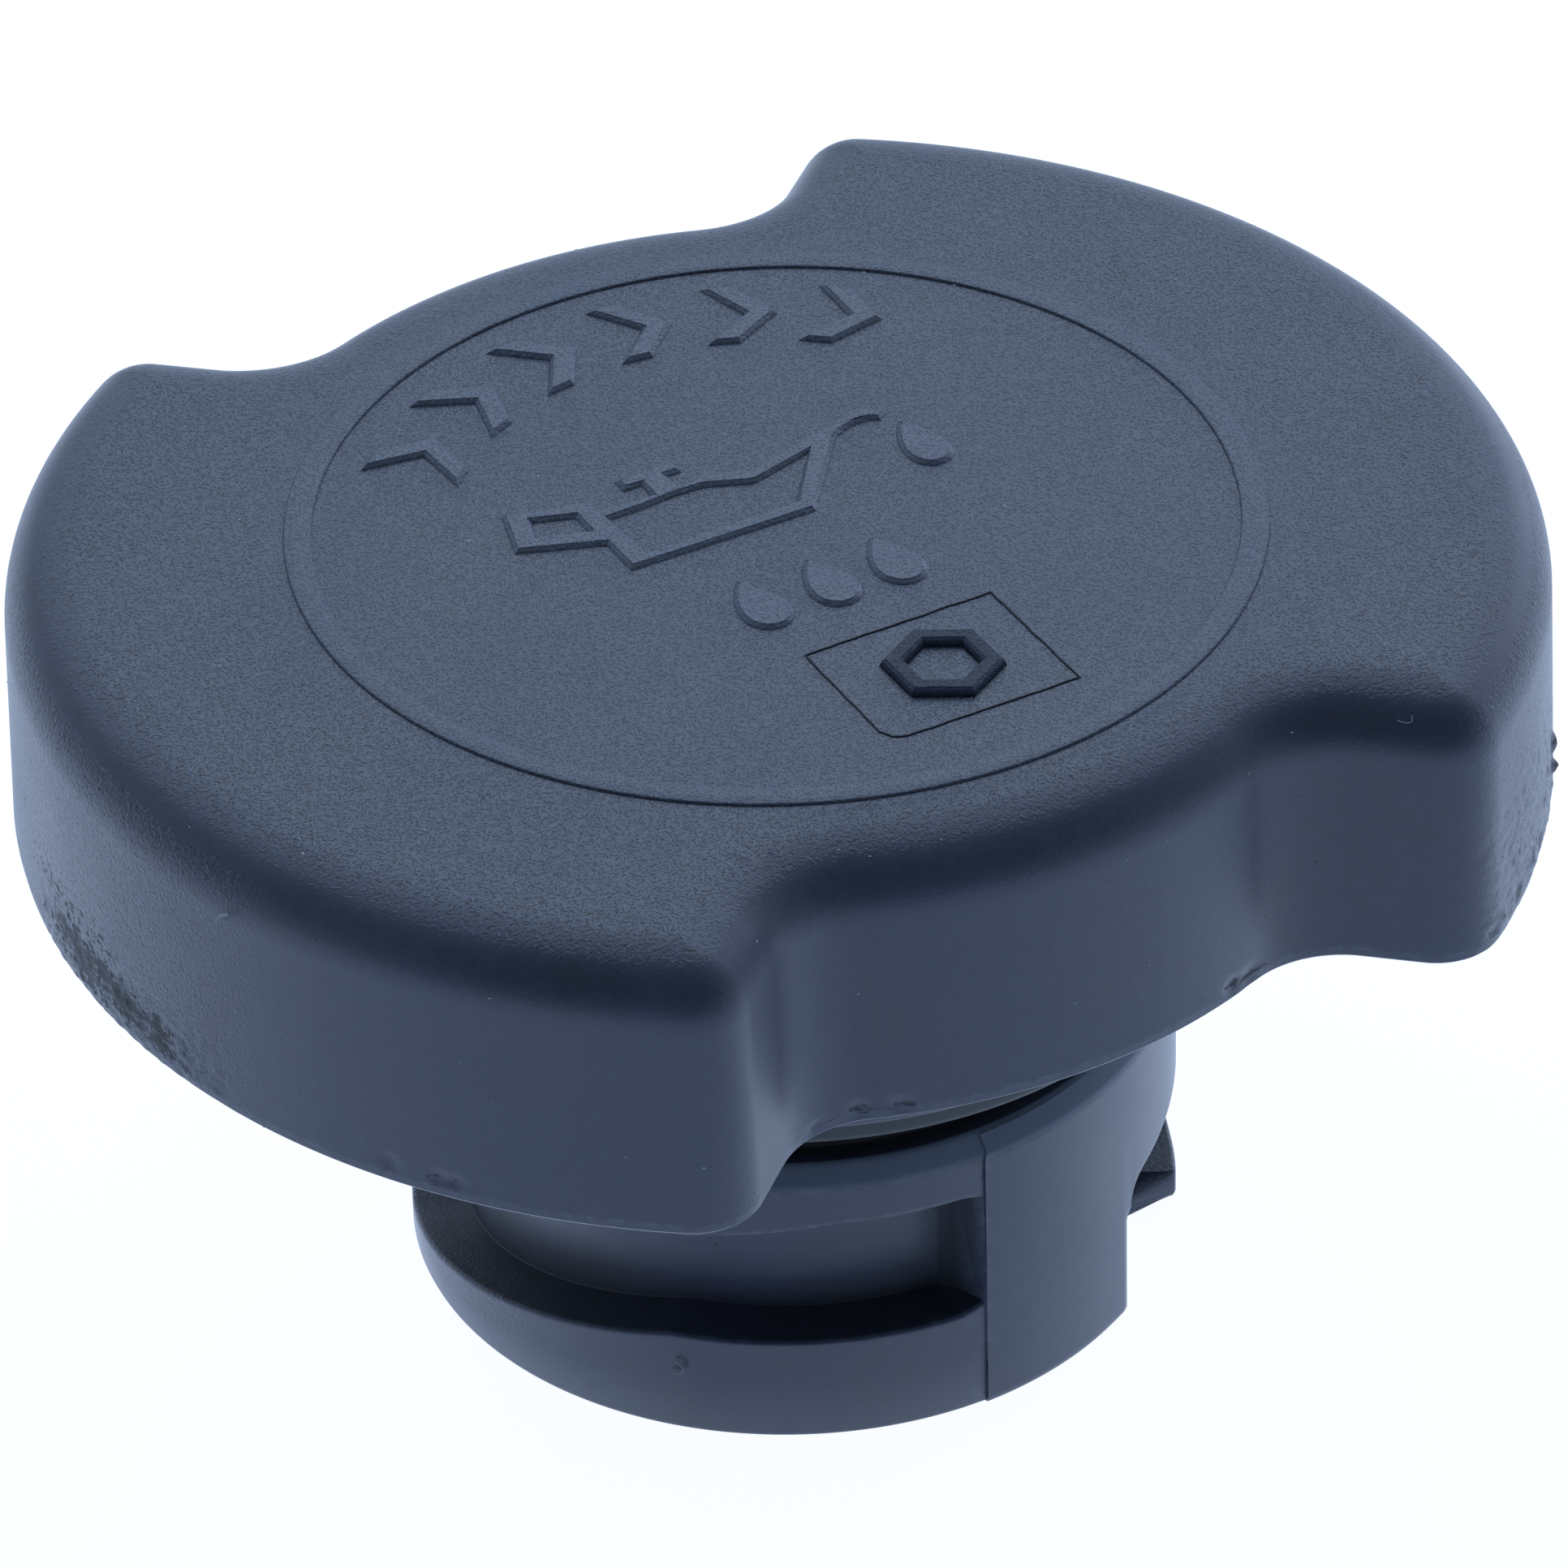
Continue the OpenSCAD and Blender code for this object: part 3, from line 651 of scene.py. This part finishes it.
def neckTube(s=neckSettings):
    stations = []
    lug, slotEnd = s["lugAngle"], s["slotEnd"]
    for turn in (0, -180):
        stations.append(("lug", 0, turn, "stop"))
        stations += [("lug", a, turn, None) for a in (3.5, 3.9, 4.4, 5.0, 5.8)]
        stations += [("lug", a, turn, None) for a in np.arange(7, lug - 0.9, 1.5)]
        stations += [("lug", lug - 0.8, turn, None), ("lug", lug - 0.3, turn, 0.05),
                ("lug", lug, turn, s["lugSoft"]), ("slot", lug, turn, None)]
        stations += [("slot", a, turn, None) for a in np.arange(lug + 1.5, slotEnd - 3.2, 1.5)]
        stations += [("slot", slotEnd - back, turn, None)
                for back in (3.0, 2.4, 1.8, 1.2, 0.8, 0.4, 0.15, 0.0)]
        for t in np.radians((0, 22, 44, 66, 90)):
            on = math.degrees(s["edgeRound"] * (1 - math.cos(t)) / s["radius"])
            stations.append(("block", slotEnd + on, turn, s["edgeRound"] * (1 - math.sin(t))))
        stations += [("block", a, turn, None) for a in np.arange(slotEnd + 2.4, 179.0, 1.4)]
        stations.append(("block", 180, turn, "seam"))
    sections = [neckStation(kind, a, turn, s, side) for kind, a, turn, side in stations]
    n, count = len(sections[0][0]), len(sections)
    faces = [face for k in range(count) for face in bandFaces(k * n, (k + 1) % count * n, n)]
    return np.concatenate([p for p, rub in sections]), faces, np.concatenate([rub for p, rub in sections])


def neckWear(points, rub, s=neckSettings):
    # how much painted edge highlight, painted shade and broad painted highlight each point carries, and how
    # gritty it is, from 0 to 1
    radius, angle = polar(points)
    back, level = (-90 - angle) % 180, points[:, 2]
    top = s["ringLevel"] + s["ringChamfer"]
    # painted shade in the corner before each stop face, on the lugs' tops and in the gap under the sealing
    # ring
    inGroove = (radius < s["radius"] - 0.15) & (level > 1) & (level < s["ceiling"] + 0.05)
    corner = inGroove * np.clip(1.15 - back / 6.5, 0, 1) * 0.9
    ledge = inGroove * np.clip(1 - (level - s["lockHeight"]) / 1.2, 0, 1)
    ledge *= np.clip((150 - back) / 100, 0, 0.6)
    gap = (level > top - 0.05) & (radius < 15.9) & (radius > 14)
    # a broad painted highlight makes the ring's chamfer with its inner edge and the blocks' free edges paler
    chamfer = (level > s["ringLevel"] + 0.05) & (level < top + 0.05) & (radius > 16.05)
    edge = chamfer & (level > top - 0.08)
    side = np.radians(back - s["slotEnd"]) * s["radius"]
    free = (radius > s["radius"] - 0.7) & (side > -0.01) & (side < 0.52) & (level < s["ceiling"] - 3)
    # the lugs' ramps keep the rough grain of the tool
    ramp = (radius > s["coreRadius"] + 0.3) & (level > 1.3) & (level < 4.5) & (back < s["lugAngle"] + 1)
    return {"rub": 0.6 * rub, "grime": np.maximum.reduce([corner, ledge, 0.95 * gap]),
            "handled": np.maximum.reduce([0.85 * chamfer, 1.0 * edge, 0.3 * free]),
            "grit": 0.8 * ramp * np.clip((back - 68) / 15, 0, 1)}


neckPoints, neckFaces, neckHighlights = neckTube()
neckMesh = markedMesh("bayonetNeck", neckPoints, neckFaces, neckWear(neckPoints, neckHighlights))
neck = dressed("bayonetNeck", neckMesh, nylonSmooth, 34)
print("neck made", len(neck.data.polygons))


# ribs under the knob

ribSettings = {"thickness": 1.6, "lift": 1.4, "edge": 0.25, "step": 32.0, "fromRadius": 19.2,
        "wingEnd": 31.75, "valleyEnd": 24.35}


def ribMesh(name, endRadius, s=ribSettings):
    low, high = knobSettings["skirtLevel"] + s["lift"], knobSettings["plateLevel"] + 0.5
    half = s["thickness"] / 2
    corners = [(x, y, z) for x in (s["fromRadius"], endRadius) for y in (-half, half) for z in (low, high)]
    sides = [(0, 1, 3, 2), (4, 6, 7, 5), (0, 4, 5, 1), (2, 3, 7, 6), (0, 2, 6, 4), (1, 5, 7, 3)]
    mesh = plainMesh(name, corners, sides)
    work = bmesh.new()
    work.from_mesh(mesh)
    lowEdges = [e for e in work.edges if max(v.co.z for v in e.verts) < (low + 0.1) * mm]
    bmesh.ops.bevel(work, geom=lowEdges, offset=s["edge"] * mm, segments=2, affect="EDGES")
    work.to_mesh(mesh)
    work.free()
    return mesh


rowTree = turnedRowTree()
for ribName, endRadius, count, first in (("wingRibs", ribSettings["wingEnd"], 3, -ribSettings["step"]),
        ("valleyRibs", ribSettings["valleyEnd"], 1, 90)):
    grow(ribName, ribMesh(ribName + "Base", endRadius), rowTree, {
        "Count": count, "Step": math.radians(ribSettings["step"]), "First": math.radians(first), "Rows": 2},
        nylonSmooth)
print("ribs made")


# bead on the top and the rubber ring, both swept round the axis; lengths in mm by the tree's input names

beadRise = 0.12
beadSettings = {"Radius": 20.35, "Lower Width": 2.05, "Upper Width": 0.3, "Height": 0.42,
        "Edge Radius": 0.12}
beadSettings["Level"] = knobSettings["height"] + beadRise - beadSettings["Height"] / 2
sealInner, sealOuter, sealLow, sealHigh = 15.05, 18.8, 17.2, 19.8
sealSettings = {"Radius": (sealInner + sealOuter) / 2, "Lower Width": sealOuter - sealInner,
        "Upper Width": sealOuter - sealInner, "Height": sealHigh - sealLow, "Edge Radius": 0.42,
        "Level": (sealHigh + sealLow) / 2}
ringTree = sweptRingTree()
for ringName, ringSettings, ringMaterial, node in (("topBead", beadSettings, nylonPaintedSheen, "cap"),
        ("sealingRing", sealSettings, rubber, "sealing_ring")):
    values = {label: length * mm for label, length in ringSettings.items()}
    grow(ringName, bpy.data.meshes.new("empty"), ringTree, dict(values, Steps=256), ringMaterial, node=node)
print("bead and sealing ring made")


# raised signs on the top, drawn in millimetres; +X is right and +Y is up as they are read

# edgePale and topPale paint a highlight on the signs' softened edges and a sheen on their tops
signSettings = {"rise": 0.2, "flare": 0.14, "sink": 0.25, "soft": 0.09, "edgePale": 0.4, "topPale": 0.16,
        "smoothAngle": 28}


def raisedIsland(loops, rise=signSettings["rise"], s=signSettings):
    # a flat raised form with leaning sides and a softened edge; first its outline, then its holes
    top = knobSettings["height"]
    steps = ((s["flare"], -s["sink"]), (s["flare"], 0), (0.02, rise - s["soft"]), (-s["soft"], rise))
    points, faces, flat, pale = [], [], [], []
    start = 0
    for k, loop in enumerate(loops):
        line = np.asarray(loop, float)
        after = np.roll(line, -1, 0)
        turning = np.sum(line[:, 0] * after[:, 1] - line[:, 1] * after[:, 0])
        if (turning > 0) != (k == 0):
            line = line[::-1]
        step = np.roll(line, -1, 0) - line
        out = np.stack([step[:, 1], -step[:, 0]], 1) / np.linalg.norm(step, axis=1)[:, None]
        back = np.roll(out, 1, 0)
        mitre = (out + back) / np.maximum(1 + np.sum(out * back, axis=1), 0.4)[:, None]
        n = len(line)
        points += [atLevel(line + mitre * wide, top + z) for wide, z in steps]
        # painted highlight on the softened edge ring, painted sheen on the top ring
        pale += [0.0] * (2 * n) + [s["edgePale"]] * n + [s["topPale"]] * n
        for ring in range(len(steps) - 1):
            a, b = start + ring * n, start + (ring + 1) * n
            faces += [(a + i, a + (i + 1) % n, b + (i + 1) % n, b + i) for i in range(n)]
        flat.append((start, n, line))
        start += n * len(steps)
    for level in (0, len(steps) - 1):
        index = [first + level * n + i for first, n, line in flat for i in range(n)]
        rows = [[Vector((x, y, 0)) for x, y in line] for first, n, line in flat]
        faces += [tuple(index[i] for i in triangle) for triangle in tessellate_polygon(rows)]
    return np.concatenate(points), faces, pale


def signPiece(name, solids, material):
    points, faces, pale, start = [], [], [], 0
    for solidPoints, solidFaces, solidPale in solids:
        points.append(solidPoints)
        faces += [tuple(i + start for i in face) for face in solidFaces]
        pale += solidPale
        start += len(solidPoints)
    mesh = markedMesh(name, np.concatenate(points), faces, {"handled": pale})
    return dressed(name, mesh, material, signSettings["smoothAngle"])


def dropLine(x, y, width, height, n=32):
    # a drop with its point upwards
    t = np.linspace(0, 2 * math.pi, n, endpoint=False) + 0.02
    across = width / 2 * np.sin(t) * np.abs(np.sin(t / 2)) ** 0.9 * 1.12
    return np.stack([x + across, y + height / 2 * np.cos(t)], 1)


# generic sign for engine oil: an oil can with its handle, its filler knob and a drop at its spout
canSettings = {
    "outline": [
        (-7.05, -0.17), (1.69, -0.26), (5.24, 4.21), (5.88, 4.48), (6.6, 4.66), (7.18, 4.59), (7.55, 4.37),
        (7.85, 4.64), (7.6, 5.05), (7.37, 5.33), (6.85, 5.36), (6.32, 5.26), (5.1, 4.86), (3.54, 4.4),
        (2.06, 3.95), (0.94, 3.59), (0.17, 3.84), (-0.86, 4.18), (-1.91, 4.2), (-2.5, 4.12), (-2.55, 5.3),
        (-1.85, 5.3), (-1.85, 5.9), (-4.45, 5.85), (-4.45, 5.25), (-3.6, 5.22), (-3.65, 4.1),
        (-5.09, 4.19), (-6.45, 4.32), (-6.33, 5.08), (-9.89, 6.0), (-10.64, 3.43), (-7.03, 2.0)],
    "handleHole": [(-9.12, 5.2), (-7.18, 4.49), (-7.23, 3.01), (-9.6, 3.89)],
    "bodyHole": [(-6.22, 3.63), (-4.47, 3.67), (-2.88, 3.82), (-1.4, 3.75), (0.42, 2.93), (0.73, 2.94),
                 (3.79, 3.77), (1.37, 0.49), (-6.11, 0.41)],
    "drop": (8.15, 1.8, 2.15, 3.5),
}
signPiece("oilCanSign", [
    raisedIsland([canSettings[line] for line in ("outline", "handleHole", "bodyHole")]),
    raisedIsland([dropLine(*canSettings["drop"])])], nylon)

# three small drops below the can
dropSettings = {"places": (-3.8, -0.5, 2.65), "level": -5.35, "size": (2.35, 3.6)}
signPiece("threeDrops", [
    raisedIsland([dropLine(x, dropSettings["level"], *dropSettings["size"])])
    for x in dropSettings["places"]], nylon)

# six chevrons on an arc, pointing the way the cap turns to close
chevron = {"radius": 16.0, "first": 132.0, "step": -16.5, "count": 6, "rise": 0.22,
        "outline": [(-1.45, 2.1), (-0.29, 2.1), (1.4, 0), (-0.29, -2.1), (-1.45, -2.1), (0.24, 0)]}
chevronPoints, chevronFaces, chevronPale = raisedIsland([chevron["outline"]], chevron["rise"])
spin = Matrix.Rotation(math.radians(chevron["first"] - 90), 3, "Z")
chevronPoints = [spin @ Vector((x, y + chevron["radius"], z)) for x, y, z in chevronPoints]
chevronMesh = markedMesh("chevron", chevronPoints, chevronFaces, {"handled": chevronPale})
chevronValues = {"Count": chevron["count"], "Step": math.radians(chevron["step"]), "First": 0.0, "Rows": 1}
grow("closingChevrons", chevronMesh, rowTree, chevronValues, nylon, signSettings["smoothAngle"])

# the tool's insert: a plain six-sided mark inside the hairline that the insert's edge has left
insert = {"centre": (0.6, -13.1), "radius": 2.5, "stroke": 0.8, "rise": 0.38, "flash": 0.06,
        "edge": [(5.0, -9.5), (-3.97, -9.5), (-4.05, -15.9), (-3.75, -16.5), (-3.2, -16.75), (5.0, -16.8)]}


def sixSides(radius, s=insert):
    a = np.radians(np.arange(0, 360, 60) + 30)
    return np.stack([s["centre"][0] + radius * np.cos(a), s["centre"][1] + radius * np.sin(a)], 1)


markLoops = [sixSides(insert["radius"]), sixSides(insert["radius"] - insert["stroke"])]
signPiece("insertMark", [raisedIsland(markLoops, insert["rise"])], nylonDark)
print("signs made")


# fine threads: the insert's hairline flash, and lint that has settled on the cap

def pathMesh(name, paths, closed=False):
    # points in millimetres, joined by edges
    points, edges = [], []
    for path in paths:
        start, n = len(points), len(path)
        points += [tuple(Vector(p) * mm) for p in path]
        edges += [(start + i, start + (i + 1) % n) for i in range(n if closed else n - 1)]
    mesh = bpy.data.meshes.new(name)
    mesh.from_pydata(points, edges, [])
    return mesh


def waveringEdge(corners, level, step=0.4, sway=0.05):
    path = []
    for i, first in enumerate(corners):
        first, last = Vector((*first, level)), Vector((*corners[(i + 1) % len(corners)], level))
        parts = max(1, round((last - first).length / step))
        for k in range(parts):
            point = first.lerp(last, k / parts)
            aside = Vector((noise.noise(point * 1.3), noise.noise(point * 1.3 + first), 0)) * sway
            path.append(point + aside)
    return path


lintSettings = {
    "lift": 0.1, "sway": 0.15,
    # thickness, then: place on the cap, the way it stands off, turn and sweep of the hook in degrees, span
    "settledLint": (0.045, [((-31.55, -10.25, 33.3), (-0.95, -0.32, 0.03), 250, 120, 1.0),
                            ((-12.4, -11.82, 3.59), (-0.71, -0.7, 0), 60, 230, 0.6)]),
    "settledFluff": (0.02, [((-13.47, -20.51, 36.36), (0, 0, 1), 150, 130, 0.8),
                            ((-12.11, -20.96, 36.3), (0, 0, 1), 140, 120, 0.7),
                            ((15.82, -25.14, 35.49), (-0.46, -0.54, 0.71), 30, 170, 0.5)]),
}


def lintPath(place, normal, turn, sweep, span, s=lintSettings):
    normal = Vector(normal).normalized()
    across = normal.cross(Vector((0, 0, 1)) if abs(normal.z) < 0.9 else Vector((0, 1, 0))).normalized()
    along = normal.cross(across)
    path = []
    for t in np.linspace(0, 1, 11):
        a = math.radians(turn + sweep * t ** 1.4)
        off = (across * math.cos(a) + along * math.sin(a)) * span * (0.75 - 0.4 * t)
        sway = across * noise.noise(Vector(place) + Vector((3 * t, 0, 0))) * s["sway"]
        path.append(Vector(place) + off + sway + normal * (0.02 + s["lift"] * math.sin(math.pi * t)))
    return path


lineTree = threadTree()
threadSides = 6
flashMesh = pathMesh("flashPath", [waveringEdge(insert["edge"], knobSettings["height"])], closed=True)
flashValues = {"Radius": insert["flash"] * mm, "Sides": threadSides}
grow("insertFlash", flashMesh, lineTree, flashValues, nylonDark)

for lintName, fibre in (("settledLint", dust), ("settledFluff", lintGrey)):
    thickness, threads = lintSettings[lintName]
    lintMesh = pathMesh(lintName + "Path", [lintPath(*thread) for thread in threads])
    grow(lintName, lintMesh, lineTree, {"Radius": thickness * mm, "Sides": threadSides}, fibre)

# dust specks strewn over the outside of the knob
dustSettings = {"perSquareMillimetre": 0.035, "radius": 0.065, "seed": 11}
specks = grow("settledDust", plainMesh("dustBed", *ringStack(outerRings, closeLast=False)), specksTree(), {
    "Density": dustSettings["perSquareMillimetre"] / mm ** 2, "Size": dustSettings["radius"] * mm,
    "Seed": dustSettings["seed"]}, dust)
print("threads and dust made", len(specks.data.polygons))


# floor, light and camera

stageSettings = {
    "floorColour": "#c4d1e0", "floorSize": 3.0, "paperShare": 0.25,
    "seenColour": "#f6f9ff", "seenGlow": 1.02, "mirroredColour": "#d0e3ff", "mirroredGlow": 2.15,
    "backWay": (0.477, 0.879, 0), "frontShare": 0.75, "frontFrom": -0.03, "frontTo": -0.004,
    "skyColour": "#cde2f9", "skyBright": 0.85, "skyDim": 0.2, "dimFrom": 0.18, "dimTo": 0.72,
    "dimSide": (-0.307, -0.565, 0.766),
}


def paleFloor(s=stageSettings):
    half = s["floorSize"] / 2
    mesh = bpy.data.meshes.new("studioFloor")
    corners = [(-half, -half, 0), (half, -half, 0), (half, half, 0), (-half, half, 0)]
    mesh.from_pydata(corners, [], [(0, 1, 2, 3)])
    floor = newObject("studioFloor", mesh)
    # Matt white paper sweep: even and dull; lifted towards white where it is seen and mirrored
    material, add, out, coords = startMaterial("paperSweepWhite")
    paper = add("ShaderNodeBsdfDiffuse", {"Color": linearColour(s["floorColour"])})
    rays = add("ShaderNodeLightPath")
    tint = add(mixKind, {
        **colours, 6: linearColour(s["mirroredColour"]), 7: linearColour(s["seenColour"])},
        {0: (rays, "Is Camera Ray")})
    # dimmer in front of the cap, where the photographer stands
    back = add("ShaderNodeVectorMath", {**dotProduct, 1: s["backWay"]}, {0: (coords, "Object")})
    full = s["mirroredGlow"] / (1 - s["paperShare"])
    fade = {**smooth, 1: s["frontFrom"], 2: s["frontTo"], 3: full * s["frontShare"], 4: full}
    mirrored = add(rangeKind, fade, {0: (back, "Value")})
    level = add(rangeKind, {4: s["seenGlow"] / (1 - s["paperShare"])},
            {0: (rays, "Is Camera Ray"), 3: mirrored})
    glow = add("ShaderNodeEmission", links={"Color": (tint, 2), "Strength": level})
    lifted = add("ShaderNodeMixShader", {0: s["paperShare"]}, {1: glow, 2: paper})
    direct = add(mathKind, maximum, {0: (rays, "Is Camera Ray"), 1: (rays, "Is Glossy Ray")})
    direct = add(mathKind, maximum, {0: direct, 1: (rays, "Is Transmission Ray")})
    seen = add("ShaderNodeMixShader", links={0: direct, 1: paper, 2: lifted})
    material.node_tree.links.new(seen.outputs[0], out.inputs["Surface"])
    mesh.materials.append(material)


def softWorld(s=stageSettings):
    # white studio walls; dimmer above the camera, where the photographer stands
    world = bpy.data.worlds.new("softStudio")
    bpy.context.scene.world = world
    world.use_nodes = True
    tree = world.node_tree
    tree.nodes.clear()
    add = partial(addNode, tree)
    out = add("ShaderNodeOutputWorld")
    way = add("ShaderNodeTexCoord")
    toward = add("ShaderNodeVectorMath", {**dotProduct, 1: s["dimSide"]}, {0: (way, "Generated")})
    level = add(rangeKind, {
        **smooth, 1: s["dimFrom"], 2: s["dimTo"], 3: s["skyBright"], 4: s["skyDim"]}, {0: (toward, "Value")})
    sky = add("ShaderNodeBackground", {"Color": linearColour(s["skyColour"])}, {"Strength": level})
    white = add("ShaderNodeBackground", {"Color": (1, 1, 1, 1), "Strength": 1.0})
    rays = add("ShaderNodeLightPath")
    seen = add("ShaderNodeMixShader", links={0: (rays, "Is Camera Ray"), 1: sky, 2: white})
    tree.links.new(seen.outputs[0], out.inputs["Surface"])


# by name: place and size in metres, watts, colour; both look at the middle of the cap
lampSettings = {
    "topBackBox": ((0.31, 0.57, 0.6), (0.7, 0.5), 2.8, "#cce3ff"),
    "rightBox": ((0.75, 0.35, 0.22), (0.45, 0.35), 1.2, "#cfdcff"),
}


def softLamp(name, place, size, watts, hexCode, aim=(0, 0, 0.03)):
    lamp = bpy.data.lights.new(name, "AREA")
    lamp.shape = "RECTANGLE"
    lamp.size, lamp.size_y = size
    lamp.energy = watts
    lamp.color = linearColour(hexCode)[:3]
    holder = newObject(name, lamp)
    holder.location = place
    holder.rotation_euler = (Vector(aim) - Vector(place)).to_track_quat("-Z", "Y").to_euler()


paleFloor()
softWorld()
for lampName, lampValues in lampSettings.items():
    softLamp(lampName, *lampValues)

# place in metres and the camera's own axes; the lens and the sensor's width in mm
view = {"place": (-0.16762, -0.308784, 0.273294), "right": (0.871065, -0.490682, -0.021835),
        "up": (0.300661, 0.497531, 0.813674), "ahead": (0.388392, 0.715328, -0.580911),
        "lens": 228.94, "sensor": 36, "near": 0.01, "far": 20}
cameraData = bpy.data.cameras.new("productCamera")
cameraData.lens = view["lens"]
cameraData.sensor_width = view["sensor"]
cameraData.clip_start, cameraData.clip_end = view["near"], view["far"]
camera = newObject("productCamera", cameraData)
columns = [Vector(view["right"]), Vector(view["up"]), -Vector(view["ahead"])]
turnMatrix = Matrix([[column[i] for column in columns] for i in range(3)]).to_4x4()
camera.matrix_world = Matrix.Translation(view["place"]) @ turnMatrix
bpy.context.scene.camera = camera
bpy.context.scene.view_settings.view_transform = "Standard"
print("stage, light and camera made")
